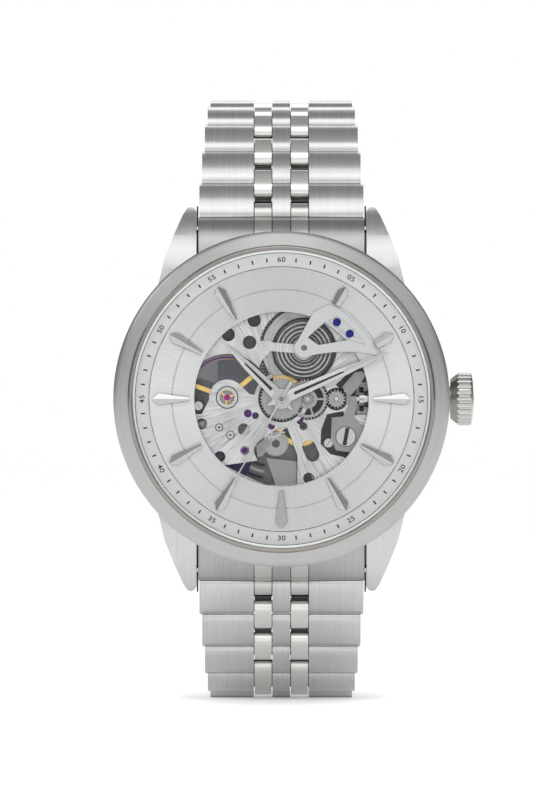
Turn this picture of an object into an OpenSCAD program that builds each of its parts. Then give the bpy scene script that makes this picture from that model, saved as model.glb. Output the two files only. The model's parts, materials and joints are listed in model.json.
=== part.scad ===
// Automatic skeleton wristwatch on a five-column steel bracelet that is closed to a loop.
// The watch stands upright: +Z runs to 12 o'clock, +X to the crown, and the dial faces -Y.
// The origin is the centre of the case back's rear face, where it rests on the wrist.
// Watch pieces are drawn flat (x to 3 o'clock, y to 12, z out of the dial) and then stood up.

/* [Case] */
// Diameter of the bezel
bezel_d = 42; // [41.8:0.1:42.4]
// Distance between the lugs
lug_gap = 21.3; // [21.2:0.1:21.5]
// Diameter of the opening in the dial
dial_opening_d = 21.8; // [21.4:0.1:22]

/* [Crown] */
// Diameter of the crown over its flutes
crown_d = 6.6; // [6.2:0.1:6.8]
// Number of flutes round the crown
crown_flutes = 26; // [18:1:28]

/* [Bracelet] */
// Distance from one hinge pin to the next
link_pitch = 5.4; // [5.3:0.05:5.5]
// Width of the end link and of the bracelet at the case
bracelet_w = 20.8; // [20.6:0.1:20.9]
// Width of the last row, at the clasp
clasp_row_w = 16; // [15.8:0.1:16.4]
// Radius of the link pins
pin_r = 0.42; // [0.38:0.01:0.43]

/* [Hands] */
// Length of the hour hand from the centre
hour_len = 9.7; // [9:0.1:10]
// Length of the minute hand from the centre
minute_len = 14.6; // [14:0.1:15]
// Length of the second hand from the centre
second_len = 15.6; // [15:0.1:16]

/* [Hidden] */
$fn = 64;
rows = 9;
function link_names(side) = [for (i = [1:rows]) str(side, "_link_", i)];

// Clearances: running fit of a pin, side gap between columns of links, fit of a jewel
run = 0.03;
column_gap = 0.1;
seat = 0.01;

// Case radii and levels above the case back's rear face
bezel_r = bezel_d / 2;
case_r = bezel_r - 0.5;
case_bore_r = 17.9;
case_z0 = 1.4;
bezel_z0 = 9.4;
crystal_r = 18.55;
dial_r = 18.2;
dial_z = [8.2, 8.6];
dial_open_r = dial_opening_d / 2;
crown_z = 5.4;
lug_x = lug_gap / 2;

// Spring bars in the lugs, and the first hinge pin of the bracelet
bar_y = 21.3;
bar_z = 4.4;
bar_r = 0.7;
first_pin = [23.2, 2.4];

// Movement levels: rear bridge, main plate, its ring wall
bridge_z = [2.85, 3.4];
plate_z = [5.3, 6.3];
plate_r = 13.1;

// Places of the arbors
barrel_at = [2.8, 6.2];
third_dist = 3.6;
third_at = third_dist * [cos(310), sin(310)];
escape_at = third_dist * [cos(250), sin(250)];
balance_at = [-6.8, 0.2];
escape_dir = (balance_at - escape_at) / norm(balance_at - escape_at);
pallet_at = escape_at + 2.4 * escape_dir;
minute_at = [3.3, 0];
setting_at = [6.875, 0];
lever_at = [8.05, -4.7];

// Modules of the gears, each from its centre distance and its two tooth counts
barrel_m = 2 * norm(barrel_at) / (75 + 15);
center_m = 2 * third_dist / (64 + 8);
third_m = 2 * third_dist / (60 + 8);
fourth_m = 2 * third_dist / (72 + 8);
cannon_m = 2 * norm(minute_at) / (12 + 36);
hour_m = 2 * norm(minute_at) / (10 + 40);

// Bracelet: tilt of each row away from the dial plane, and the columns' edges
tilts = [38, 42, 54, 74, 92, 109, 125, 140, 154];
link_half = 1.5;
near_r = 1.55;
nose_r = 1.4;
socket_r = 1.63;
fixed_pin_s = 3.2;
// Centre of an intermediate link's round near end, and how far a link without a nose is cut short
inter_near_s = 3.75;
short_end = 1.6;
// How far before its pin a link ends, and the height of the valley there
valley_s = 1.29;
valley_n = 1;
centre_x = 1.12;
inter_x = [1.22, 3.38];
outer_x = 3.48;
function row_w(i) = bracelet_w - 0.2 + (clasp_row_w - bracelet_w + 0.2) * min(1, (i - 1) / (rows - 2));
// Pin i of the upper chain: [depth behind the dial plane, height]
function pin_at(i) = i == 0 ? [-first_pin[1], first_pin[0]]
    : pin_at(i - 1) + link_pitch * [sin(tilts[i - 1]), cos(tilts[i - 1])];

// Clasp: an arc about X through the two end pins
clasp_end = pin_at(rows);
clasp_half = 26;
clasp_r = clasp_end[1] / sin(clasp_half);
clasp_y = clasp_end[0] - clasp_r * cos(clasp_half);
cover_hinge = 21.6;
blade_hinge = -22.4;
blade_x = 6.3;
skirt_x = [7.4, 8.2];
cover_rise = [1.4, 2.5];
middle_rise = [0.35, 1.05];
inner_rise = [-1.35, -0.6];
cover_hinge_rise = 0.45;
blade_hinge_rise = -0.13;

// ---------- helpers ----------
module stand() { rotate([90, 0, 0]) children(); }
module slab(z) { translate([0, 0, z[0]]) linear_extrude(z[1] - z[0]) children(); }
module post(p, r, z) { translate([p[0], p[1], z[0]]) cylinder(r = r, h = z[1] - z[0]); }
module ring(p, r, bore, z) {
    difference() {
        post(p, r, z);
        post(p, bore, [z[0] - 1, z[1] + 1]);
    }
}
module at(p) { translate([p[0], p[1], 0]) children(); }
module bar_2d(p, q, w) {
    d = q - p;
    translate(p) rotate(atan2(d[1], d[0])) translate([0, -w / 2]) square([norm(d), w]);
}
function arc(c, r, a0, a1, n) = [for (k = [0:n]) let (a = a0 + (a1 - a0) * k / n) c + r * [cos(a), sin(a)]];
function curve(p, q, s, n) = [for (k = [0:n]) let (t = k / n)
    (1 - t) * (1 - t) * p + 2 * t * (1 - t) * q + t * t * s];

// Teeth: four corners each, a little slimmer than the gap so that meshing gears run free
function gear_points(n, m, phase) =
    let (root = n * m / 2 - 1.1 * m, tip = n * m / 2 + 0.8 * m, step = 360 / n)
    [for (k = [0:n - 1]) for (c = [[root, -0.27], [tip, -0.11], [tip, 0.11], [root, 0.27]])
        let (a = phase + step * (k + c[1])) c[0] * [cos(a), sin(a)]];
module gear_2d(n, m, phase = 0) { polygon(gear_points(n, m, phase)); }

// A wheel with a toothed rim, straight spokes and a bored hub
module spoked_wheel(n, m, phase, rim, spokes, hub, z) {
    root = n * m / 2 - 1.1 * m;
    slab(z) {
        difference() {
            gear_2d(n, m, phase);
            circle(root - rim);
        }
        for (k = [0:spokes - 1]) rotate(phase + k * 360 / spokes) translate([0, -rim * 0.4])
            square([root - rim * 0.5, rim * 0.8]);
        circle(hub);
    }
}

// ---------- case ----------
module lug_2d() {
    polygon(concat(
        [[lug_x, 14.6], [lug_x, 23.5]],
        arc([lug_x + 0.75, 23.35], 0.75, 150, 60, 4),
        [[12.34, 23.1], [13.45, 20.56], [14.58, 17.66], [15.35, 14.5], [15.7, 12.6]]
    ));
}
module lug_side_2d() {
    polygon(concat(
        [[12, 9.35]],
        curve([16.5, 9.3], [22.3, 8.2], [24.1, 3.2], 10),
        curve([24.1, 2.6], [24, 0.9], [22.2, 1.0], 5),
        [[17.5, 1.5], [12, 1.5]]
    ));
}
module lug() {
    intersection() {
        slab([0, 10]) lug_2d();
        translate([20, 0, 0]) rotate([90, 0, -90]) mirror([1, 0, 0]) linear_extrude(15) lug_side_2d();
    }
}
module case_middle() {
    color("silver") stand() difference() {
        union() {
            rotate_extrude() polygon([
                [case_bore_r - 0.1, case_z0], [19.2, case_z0], [case_r, 3.1], [case_r, 9.1],
                [case_r - 0.25, bezel_z0 - 0.02], [18.35, bezel_z0 - 0.02], [case_bore_r - 0.1, bezel_z0 - 0.02]
            ]);
            for (sx = [0, 1], sy = [0, 1]) mirror([sx, 0, 0]) mirror([0, sy, 0]) lug();
            translate([case_bore_r + 1, 0, crown_z]) rotate([0, 90, 0]) cylinder(r = 1.7, h = 3.2);
        }
        post([0, 0], case_bore_r, [0, 8.15]);
        post([0, 0], dial_r + 0.15, [8.15, 10]);
        translate([10, 0, crown_z]) rotate([0, 90, 0]) cylinder(r = 0.6, h = 20);
        for (s = [-1, 1]) translate([-12.6, s * bar_y, bar_z]) rotate([0, 90, 0]) cylinder(r = 0.5, h = 25.2);
    }
}
module bezel() {
    color("gainsboro") stand() rotate_extrude() polygon(concat(
        [[18.3, bezel_z0], [bezel_r - 0.15, bezel_z0], [bezel_r, bezel_z0 + 0.2]],
        curve([bezel_r, 10.5], [bezel_r, 11.15], [bezel_r - 0.7, 11.3], 6),
        [[19.2, 11.62], [19.1, 11.84]],
        arc([18.95, 11.75], 0.15, 60, 90, 2),
        [[18.7, 11.9], [18.6, 11.8], [18.6, 10.4], [18.3, 10.4]]
    ));
}
module front_crystal() {
    color("aliceblue", 0.3) stand() rotate_extrude() polygon([
        [0, 10.45], [crystal_r, 10.45], [crystal_r, 11.7], [crystal_r - 0.25, 11.9], [9, 11.97], [0, 12]
    ]);
}
module case_back() {
    color("silver") stand() difference() {
        rotate_extrude() polygon([
            [13.5, 0], [17.6, 0], [18.8, 0.9], [18.8, 1.38], [17.85, 1.38], [17.85, 2.3],
            [16.9, 2.3], [16.9, 1.5], [14.15, 1.5], [14.15, 0.45], [13.5, 0.45]
        ]);
        // six notches for the case key
        for (k = [0:5]) rotate(k * 60 + 30) translate([16.6, -0.9, -1]) cube([1.6, 1.8, 1.5]);
    }
}
module back_crystal() {
    color("aliceblue", 0.3) stand() {
        post([0, 0], 13.45, [0, 0.6]);
        post([0, 0], 14.1, [0.47, 1.4]);
    }
}
// Side view of the end link, as [y, z] of the watch: from the case down to the first hinge pin
module end_link_side_2d() {
    polygon(concat(
        [[17.5, 7.3]],
        curve([18.5, 7.2], [21.9, 6.7], [first_pin[0] - 0.5, first_pin[1] + link_half + 0.15], 7),
        [[first_pin[0] - 0.3, first_pin[1]], [first_pin[0] - 1, first_pin[1] - link_half], [17.5, 0.9]]
    ));
}
module across(x0, x1) { translate([x0, 0, 0]) rotate([90, 0, 90]) linear_extrude(x1 - x0) children(); }
module end_link() {
    half = bracelet_w / 2;
    difference() {
        union() {
            across(-half, half) end_link_side_2d();
            for (s = [-1, 1]) translate([s * (inter_x[0] + inter_x[1]) / 2 - 1.08, first_pin[0], first_pin[1]])
                rotate([0, 90, 0]) cylinder(r = nose_r, h = inter_x[1] - inter_x[0]);
        }
        post([0, 0], bezel_r - 0.3, [-1, 12]);
        // sockets for the first row's outer and centre links
        for (x = [[-half - 1, -outer_x + column_gap], [-centre_x - column_gap, centre_x + column_gap],
                [outer_x - column_gap, half + 1]])
            translate([x[0], first_pin[0], first_pin[1]]) rotate([0, 90, 0]) cylinder(r = socket_r, h = x[1] - x[0]);
        translate([-half - 1, first_pin[0], first_pin[1]]) rotate([0, 90, 0])
            cylinder(r = pin_r + run, h = bracelet_w + 2);
        translate([-half - 1, bar_y, bar_z]) rotate([0, 90, 0]) cylinder(r = bar_r + run, h = bracelet_w + 2);
        // shallow grooves between the columns
        for (x = [-outer_x, -centre_x - column_gap, centre_x, outer_x - column_gap]) translate([x, 16, 0])
            difference() {
                cube([column_gap, 6.4, 9]);
                translate([0, -16, -0.35]) across(-1, 1) end_link_side_2d();
            }
    }
}
module end_links() {
    color("silver") stand() for (s = [0, 1]) mirror([0, s, 0]) end_link();
}
module spring_bars() {
    color("darkgray") stand() for (s = [-1, 1]) translate([0, s * bar_y, bar_z]) rotate([0, 90, 0]) {
        cylinder(r = bar_r, h = 20.4, center = true);
        cylinder(r = 0.45, h = 24.8, center = true);
    }
}

// ---------- dial side ----------
module chapter_ring() {
    color("white") stand() rotate_extrude() polygon([
        [16.6, dial_z[1]], [dial_r + 0.05, dial_z[1]], [dial_r + 0.05, 9.3], [18.1, 9.3], [16.75, 8.98], [16.6, 8.86]
    ]);
}
module dial() {
    color("gainsboro") stand() difference() {
        post([0, 0], dial_r, dial_z);
        post([0, 0], dial_open_r, [8, 9]);
        ring([0, 0], 13.75, 13.62, [dial_z[1] - 0.08, 9]);
        for (p = blued_at) post(p, 0.3, [8, 9]);
    }
}
// A faceted dart: a roof along the hour line, cut to its outline in plan
module dart(inner, outer, w_in, w_out, shoulder, rise) {
    translate([0, 0, dial_z[1]]) intersection() {
        rotate([90, 0, 90]) linear_extrude(outer + 1) polygon([[-w_out, 0], [w_out, 0], [0, rise * 2]]);
        linear_extrude(rise * 2) polygon([
            [inner, -w_in / 2], [inner, w_in / 2], [shoulder, w_out / 2], [outer, 0.12],
            [outer, -0.12], [shoulder, -w_out / 2]
        ]);
    }
}
module hour_markers() {
    color("silver") stand() {
        for (h = [3:11]) rotate(90 - 30 * h) dart(11.45, 16.1, 0.35, 1.45, 15.35, 0.28);
        for (h = [1, 2]) rotate(90 - 30 * h) dart(13.6, 16.1, 1.1, 1.35, 15.35, 0.28);
    }
}
// Fan-shaped bridge applied to the dial over the barrel, and its two blued screws
blued_at = [[6.93, 9.6], [8.54, 8.17]];
applied_z = [dial_z[1], dial_z[1] + 0.22];
applied_recess = dial_z[1] + 0.12;
module dial_bridge() {
    color("whitesmoke") stand() difference() {
        union() {
            post([2.83, 6.4], 1.25, applied_z);
            slab(applied_z) polygon(concat(
                [[1.78, 6.9], [4.0, 10.9]],
                arc([0, 0], 13.35, 63, 25, 12),
                curve([12.1, 5.45], [7.5, 6.4], [3.2, 5.3], 8)
            ));
        }
        post([2.83, 6.4], 0.35, [8, 10]);
        slab([8, 10]) polygon([[3.3, 7.7], [4.6, 6.75], [8.2, 7.35], [5.5, 9.65]]);
        // recessed face that carries the screws
        slab([applied_recess, 9.5]) polygon(concat([[5.9, 9.75], [8.45, 7.45]], arc([0, 0], 12.5, 33, 56, 6)));
        for (p = blued_at) post(p, 0.3, [8, 10]);
    }
}
module slotted_screw(p, r, z, slot_w, turn) {
    at(p) difference() {
        post([0, 0], r, z);
        rotate(turn) translate([-r - 1, -slot_w / 2, z[1] - 0.12]) cube([2 * r + 2, slot_w, 1]);
    }
}
module blued_screws() {
    color("navy") stand() for (p = blued_at) {
        slotted_screw(p, 0.5, [applied_recess, applied_recess + 0.18], 0.14, 30);
        post(p, 0.28, [dial_z[1] - 0.3, applied_recess + 0.03]);
    }
}
// A hand along +x: a ridged roof cut to its outline, with a slot and a bored hub
module hand(len, w, slot, bore, hub, z, tail) {
    difference() {
        union() {
            translate([0, 0, z[0]]) intersection() {
                translate([-tail, 0, 0]) rotate([90, 0, 90]) linear_extrude(len + tail)
                    polygon([[-w, 0], [w, 0], [w, 0.05], [0, z[1] - z[0]], [-w, 0.05]]);
                linear_extrude(2) polygon([
                    [-tail, -0.1], [-tail, 0.1], [0.9, w / 2], [len * 0.62, w * 0.36], [len, 0.06],
                    [len, -0.06], [len * 0.62, -w * 0.36], [0.9, -w / 2]
                ]);
            }
            post([0, 0], hub, z);
        }
        post([0, 0], bore, [z[0] - 1, z[1] + 1]);
        slab([z[0] - 1, z[1] + 1]) polygon([
            [slot[0], -0.2], [slot[0], 0.2], [slot[1], 0.1], [slot[1], -0.1]
        ]);
    }
}
hour_angle = 90 - 314.3;
minute_angle = 90 - 66.3;
second_angle = 90 - 210;
module hour_hand() {
    color("silver") stand() rotate(hour_angle) hand(hour_len, 1.5, [1.7, 6.4], 0.91, 1.25, [8.85, 9.1], 1.9);
}
module minute_hand() {
    color("silver") stand() rotate(minute_angle) hand(minute_len, 1.4, [1.75, 8.5], 0.61, 0.95, [9.2, 9.45], 1.9);
}
module second_hand() {
    color("silver") stand() difference() {
        union() {
            slab([9.58, 9.7]) rotate(second_angle) polygon([
                [-2.5, -0.25], [-2.5, 0.25], [-0.3, 0.16], [second_len, 0.05], [second_len, -0.05], [-0.3, -0.16]
            ]);
            post([0, 0], 0.48, [9.54, 9.8]);
        }
        post([0, 0], 0.16, [9, 10]);
    }
}

// ---------- movement: plates ----------
module movement_ring() {
    color("lightgray") stand() difference() {
        ring([0, 0], 17.8, plate_r + 0.05, [3.0, 8.15]);
        translate([10, 0, crown_z]) rotate([0, 90, 0]) cylinder(r = 0.8, h = 10);
        // recesses of the three casing screws
        for (a = casing_angles) rotate(a) post([15.4, 0], 0.95, [7.99, 9]);
    }
}
casing_angles = [95, 215, 335];
// Dial-side edge of the plate over the balance: the boss of the shock setting and its arm
module balance_arm_2d() {
    translate(balance_at) circle(2.25);
    polygon([[-13, -1.8], [-10, -1.9], [-9, 0], [-5.1, 1.7], [-4, 0.6], [-2.2, 0.4], [0, -2], [-3, -13], [-13, -13]]);
}
module main_plate_2d() {
    difference() {
        circle(plate_r);
        // balance
        difference() {
            translate(balance_at) circle(5.45);
            balance_arm_2d();
        }
        // barrel, above and below the arm that holds its arbor
        difference() {
            union() {
                translate(barrel_at) circle(4.15);
                intersection() {
                    translate(barrel_at) circle(5.6);
                    translate([-3, 7.3]) square([8, 8]);
                }
                translate([0.4, 3.1]) circle(3.3);
            }
            bar_2d([-3.5, 6.75], barrel_at, 1.1);
            translate(barrel_at) circle(1.3);
            circle(1.5);
            bar_2d([0, 0], [4, -2], 2.6);
        }
        // windows over the train
        polygon([[-3.4, -5.7], [-1.7, -4.5], [-0.5, -3.7], [0.7, -3.5], [2, -7], [2, -10.6], [-2, -10.8],
            [-7.2, -8.3], [-3, -7.7], [-3.4, -6.8]]);
        translate([-4.7, -3.8]) circle(0.75);
        bar_2d([-4.9, -3.6], [-4.2, -4], 1.2);
        translate([3.45, -6]) circle(0.85);
        translate([3.9, -7]) circle(0.85);
        bar_2d([3.45, -6], [3.9, -7], 1.7);
        // stem and clutch
        translate([8.3, -2]) square([5.2, 4]);
        for (p = [[-3.4, 9.85], [-6.65, 8.05], [-4, 7.1]]) translate(p) circle(0.75);
        for (p = [[3.4, -9.9], [-7.7, -7.2], [-10, -3.1]]) translate(p) circle(0.6);
        for (p = jewel_places()) translate(p) circle(jewel_r + seat);
        for (p = screw_places()) translate(p) circle(0.32);
        circle(0.42);
    }
}
jewel_r = 0.42;
function jewel_places() = [
    third_at, escape_at, pallet_at, [-7.8, -3.55], [-6.4, -4.5], [-4.6, -6.45], [-4.2, -1.8], [2.75, -3.4]
];
function screw_places() = [[-10.4, -0.85], [5.9, -5.5], [7.5, -8.6], [-9.4, 5.6], [9.2, 6.6], [-1.2, 11.6]];
module main_plate() {
    color("lightsteelblue") stand() difference() {
        union() {
            slab(plate_z) main_plate_2d();
            ring([0, 0], plate_r, 12.2, [bridge_z[1], plate_z[0] + 0.1]);
            for (p = [minute_at, setting_at]) post(p, 0.25, [plate_z[0], 7.4]);
            post(lever_at, 0.5, [plate_z[0], 6.75]);
            // bar that carries the lower pivot of the pallet fork
            post([-4.6, -4.6], 0.4, [4.42, plate_z[0] + 0.1]);
            slab([4.42, 4.58]) {
                bar_2d([-4.6, -4.6], pallet_at, 0.6);
                translate(pallet_at) circle(0.35);
            }
        }
        post(barrel_at, 6.0, [0, plate_z[0] - 0.1]);
        post(barrel_at, 4.05, [5, 5.99]);
        post(barrel_at, 0.33, [0, 7]);
        post(balance_at, 5.6, [0, 4.4]);
        post(balance_at, 1.0, [5, 5.9]);
        post(balance_at, 1.33, [5.9, 7]);
        post(pallet_at, 0.13, [4, 5]);
        translate([8.3, -2, 3]) cube([6, 4, 4]);
    }
}
module rear_bridge() {
    color("silver") stand() difference() {
        union() {
            slab(bridge_z) difference() {
                circle(12.9);
                translate(balance_at) circle(5.7);
                // seat of the balance cock, a little wider than the cock
                translate(balance_at) circle(1.8);
                polygon([[-6, 1.6], [-7, -1.4], [-13.2, -4.6], [-13.2, 3.5]]);
                translate([5, -9.4]) circle(1.3);
                translate([-1, 9.6]) circle(1.2);
            }
            // bearing post of the rotor
            post([0, 0], 0.8, [1.8, bridge_z[1]]);
            post([0, 0], 1.9, [2.62, bridge_z[0] + 0.1]);
        }
        for (p = [third_at, escape_at, barrel_at]) post(p, 0.14, [2, 4]);
        post([0, 0], 0.14, [3.1, 4]);
        translate([9.4, -2, 2]) cube([6, 4, 4]);
    }
}
module balance_cock() {
    z = [bridge_z[0], bridge_z[1] - 0.1];
    color("silver") stand() difference() {
        union() {
            post(balance_at, 1.7, z);
            intersection() {
                slab(z) polygon([[-6.2, 1.48], [-7.1, -1.25], [-13.2, -4.5], [-13.2, 3.4]]);
                post([0, 0], 12.9, z);
            }
        }
        post(balance_at, 0.14, [2, 4]);
    }
}
module jewels() {
    color("crimson") stand() {
        for (p = jewel_places()) ring(p, jewel_r, 0.13, [plate_z[0] + 0.05, plate_z[1] - 0.05]);
        // shock setting of the balance, its jewel and its lyre spring
        ring(balance_at, 1.3, 0.9, [5.92, 6.45]);
        ring(balance_at, 0.8, 0.13, [5.35, 5.85]);
        at(balance_at) slab([6.1, 6.25]) for (a = [20, 140, 260]) rotate(a) translate([0, -0.12]) square([1.0, 0.24]);
    }
}
module plate_screws() {
    color("silver") stand() {
        for (p = screw_places()) {
            slotted_screw(p, 0.55, [plate_z[1], plate_z[1] + 0.25], 0.16, 40 * p[0]);
            post(p, 0.3, [plate_z[0], plate_z[1] + 0.05]);
        }
        slotted_screw(lever_at, 1.2, [6.98, 7.3], 0.4, 75);
        post(lever_at, 0.3, [6.77, 7.1]);
        // three casing screws that hold the movement ring
        for (a = casing_angles) rotate(a) slotted_screw([15.4, 0], 0.9, [8.0, 8.14], 0.3, 0);
    }
}

// ---------- movement: wheels ----------
module barrel() {
    phase = atan2(-barrel_at[1], -barrel_at[0]);
    color("silver") stand() at(barrel_at) {
        difference() {
            union() {
                slab([4.85, 5.1]) gear_2d(75, barrel_m, phase);
                post([0, 0], 4.0, [4.85, 5.28]);
                post([0, 0], 3.3, [3.5, 4.9]);
                post([0, 0], 3.95, [5.2, 5.95]);
            }
            // open lid over the mainspring; the spring's coils stay as rings
            for (r = [3.75, 3.25, 2.75, 2.25, 1.85]) ring([0, 0], r, r - 0.3, [5.3, 7]);
            post([0, 0], 1.45, [5.25, 7]);
        }
        post([0, 0], 0.5, [5.2, 5.29]);
        post([0, 0], 0.3, [5.2, 6.35]);
        post([0, 0], 0.11, [3.0, 3.6]);
    }
}
module center_wheel() {
    color("gold") stand() difference() {
        union() {
            spoked_wheel(64, center_m, atan2(third_at[1], third_at[0]), 0.5, 4, 0.9, [4.5, 4.65]);
            slab([4.82, 5.13]) gear_2d(15, barrel_m, atan2(barrel_at[1], barrel_at[0]) + 12);
            post([0, 0], 0.38, [4.4, 8.7]);
        }
        post([0, 0], 0.2, [4, 9]);
    }
}
module third_wheel() {
    phase = atan2(-third_at[1], -third_at[0]);
    color("gold") stand() at(third_at) {
        spoked_wheel(60, third_m, phase, 0.5, 5, 0.7, [3.95, 4.1]);
        slab([4.42, 4.72]) gear_2d(8, center_m, phase + 22.5);
        post([0, 0], 0.2, [4.0, 5.2]);
        post([0, 0], 0.11, [3.0, 5.9]);
    }
}
module fourth_wheel() {
    color("gold") stand() {
        spoked_wheel(72, fourth_m, atan2(escape_at[1], escape_at[0]), 0.45, 4, 0.6, [3.5, 3.65]);
        slab([3.9, 4.15]) gear_2d(8, third_m, atan2(third_at[1], third_at[0]) + 22.5);
        post([0, 0], 0.15, [3.5, 9.75]);
        post([0, 0], 0.11, [3.15, 3.6]);
    }
}
// Twenty slanted teeth of the club-tooth escape wheel
function escape_points() = [for (k = [0:19]) for (c = [[1.5, 0], [1.88, 9], [1.9, 13], [1.5, 8]])
    c[0] * [cos(18 * k + c[1]), sin(18 * k + c[1])]];
module escape_wheel() {
    color("silver") stand() at(escape_at) {
        slab([4.85, 5.0]) {
            difference() {
                polygon(escape_points());
                circle(1.25);
            }
            for (a = [0, 90]) rotate(a) square([2.7, 0.22], center = true);
            circle(0.4);
        }
        slab([3.45, 3.72]) gear_2d(8, fourth_m, atan2(-escape_at[1], -escape_at[0]) + 22.5);
        post([0, 0], 0.12, [3.4, 5.2]);
        post([0, 0], 0.11, [3.0, 5.9]);
    }
}
module pallet_fork() {
    color("silver") stand() at(pallet_at) {
        rotate(atan2(escape_dir[1], escape_dir[0])) slab([4.75, 5.0]) {
            difference() {
                translate([0, -0.2]) square([3.08, 0.4]);
                translate([2.8, -0.12]) square([0.4, 0.24]);
            }
            circle(0.45);
            for (s = [-1, 1]) {
                bar_2d([0, 0], [-0.95, s * 1.5], 0.3);
                bar_2d([-0.9, s * 1.42], [-1.1, s * 1.75], 0.22);
            }
        }
        post([0, 0], 0.2, [4.62, 5.2]);
        post([0, 0], 0.1, [4.45, 5.9]);
    }
}
module balance_wheel() {
    color("darkgoldenrod") stand() at(balance_at) {
        slab([3.85, 4.35]) difference() {
            circle(5.3);
            circle(4.75);
        }
        slab([3.95, 4.25]) {
            for (a = [40, 160, 280]) rotate(a) translate([0, -0.28]) square([5, 0.56]);
            circle(0.9);
        }
        post([0, 0], 1.1, [4.5, 4.65]);
        post([0, 0], 0.3, [4.2, 5.3]);
        post([0, 0], 0.11, [2.95, 5.8]);
        post([0, 0], 0.3, [3.85, 4.6]);
        // impulse pin, in line with the pallet fork
        rotate(atan2(-escape_dir[1], -escape_dir[0])) post([0.9, 0], 0.1, [4.6, 5.1]);
    }
}
// Flat spiral of rectangular wire, pinned to a stud on the balance cock
module hairspring() {
    turns = 9;
    steps = 20;
    coil_pitch = 0.26;
    wire = 0.08;
    function spiral(r, k) = (r + coil_pitch * k / steps) * [cos(360 * k / steps), sin(360 * k / steps)];
    inner = [for (k = [0:turns * steps]) spiral(0.55, k)];
    outer = [for (k = [turns * steps:-1:0]) spiral(0.55 + wire, k)];
    color("steelblue") stand() at(balance_at) {
        slab([3.48, 3.7]) polygon(concat(inner, outer));
        post([2.93, 0], 0.16, [3.35, 3.72]);
    }
}
module cannon_pinion() {
    color("silver") stand() difference() {
        union() {
            slab([6.5, 6.85]) gear_2d(12, cannon_m, 15);
            post([0, 0], 0.6, [6.45, 9.46]);
        }
        post([0, 0], 0.42, [6, 10]);
    }
}
module minute_wheel() {
    color("silver") stand() at(minute_at) difference() {
        union() {
            spoked_wheel(36, cannon_m, 0, 0.35, 5, 1.2, [6.5, 6.75]);
            slab([6.7, 7.3]) gear_2d(10, hour_m, 180);
        }
        post([0, 0], 0.28, [6, 8]);
    }
}
module hour_wheel() {
    color("silver") stand() difference() {
        union() {
            slab([6.95, 7.2]) gear_2d(40, hour_m, 4.5);
            post([0, 0], 0.9, [6.92, 9.1]);
        }
        post([0, 0], 0.64, [6, 10]);
    }
}
module setting_wheel() {
    color("silver") stand() at(setting_at) difference() {
        slab([6.5, 6.9]) gear_2d(16, cannon_m, 180 + 11.25);
        post([0, 0], 0.28, [6, 8]);
    }
}
// Lever that follows the stem: its pin rides in the stem's groove
module setting_lever() {
    color("lightsteelblue") stand() difference() {
        union() {
            slab([6.76, 6.96]) {
                polygon([[6.3, -2.3], [7.7, -2.2], [8.5, -0.5], [8.4, 0.35], [9.4, 0.35], [9.5, -0.6], [9.1, -2.2],
                    [10.2, -3.6], [10.3, -5.2], [8.8, -6.7], [6.8, -6.4], [6.2, -5.0]]);
            }
            post([9.0, 0], 0.2, [5.72, 6.9]);
        }
        post(lever_at, 0.32, [5, 8]);
    }
}

// ---------- winding ----------
module along_stem(x0, x1, r) {
    translate([x0, 0, crown_z]) rotate([0, 90, 0]) cylinder(r = r, h = x1 - x0);
}
module winding_stem() {
    color("silver") stand() {
        difference() {
            along_stem(8.55, 20.38, 0.5);
            difference() {
                along_stem(8.7, 9.3, 1);
                along_stem(8.6, 9.4, 0.27);
            }
        }
        // sliding clutch with crown teeth round its edge
        difference() {
            along_stem(9.75, 11.6, 1.5);
            along_stem(10.3, 10.8, 3);
            for (k = [0:15]) translate([9, 0, crown_z]) rotate([k * 22.5, 0, 0])
                translate([0, -0.14, 1.15]) cube([4, 0.28, 1]);
        }
        along_stem(10.2, 10.9, 1.0);
    }
}
module crown() {
    r = crown_d / 2;
    x0 = bezel_r + 0.15;
    color("silver") stand() translate([0, 0, crown_z]) rotate([0, 90, 0]) difference() {
        rotate_extrude() polygon(concat(
            [[0, 20.4], [0.45, 20.4], [0.45, 22.2], [1.8, 22.2], [1.8, x0], [2.5, x0], [r, 22.2], [r, 23.6]],
            curve([r - 0.1, 23.75], [r - 0.5, 24.0], [0, 24.1], 5)
        ));
        for (k = [0:crown_flutes - 1]) rotate(k * 360 / crown_flutes) translate([r + 0.12, 0, 21])
            cylinder(r = 0.3, h = 2.75);
    }
}
// Half-round winding weight, hanging to 6 o'clock
module rotor() {
    color("silver") stand() difference() {
        union() {
            slab([2.15, 2.4]) difference() {
                circle(12.5);
                translate([-20, 0]) square([40, 20]);
                for (a = [-145, -90, -35]) rotate(a) translate([5.6, 0]) circle(1.9);
            }
            slab([1.75, 2.6]) difference() {
                circle(12.5);
                circle(10.2);
                translate([-20, -0.6]) square([40, 20]);
            }
            post([0, 0], 2.2, [1.85, 2.55]);
        }
        post([0, 0], 0.83, [1, 4]);
    }
}

// ---------- bracelet ----------
// Places a side view (along the row, outward) on a row, drawn across the bracelet in x
module on_row(i) {
    p = pin_at(i - 1);
    translate([0, p[0], p[1]]) rotate([-tilts[i - 1], 0, 0]) rotate(a = 180, v = [1, 0, 1]) children();
}
module link_side_2d() {
    difference() {
        polygon(concat(
            arc([0, 0], near_r, 110, 255, 10),
            [[0, -link_half], [link_pitch - 1.9, -link_half], [link_pitch - 1.5, -link_half + 0.45], [link_pitch, 0],
                [link_pitch - valley_s + 0.06, valley_n - 0.1]],
            curve([link_pitch - valley_s, valley_n], [2.2, 2.4], near_r * [cos(110), sin(110)], 12)
        ));
        translate([link_pitch, 0]) circle(socket_r);
    }
}
module inter_side_2d() {
    polygon(concat(
        arc([inter_near_s, 0], nose_r, 90, 270, 8),
        arc([link_pitch, 0], nose_r, -90, 90, 8)
    ));
}
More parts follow.
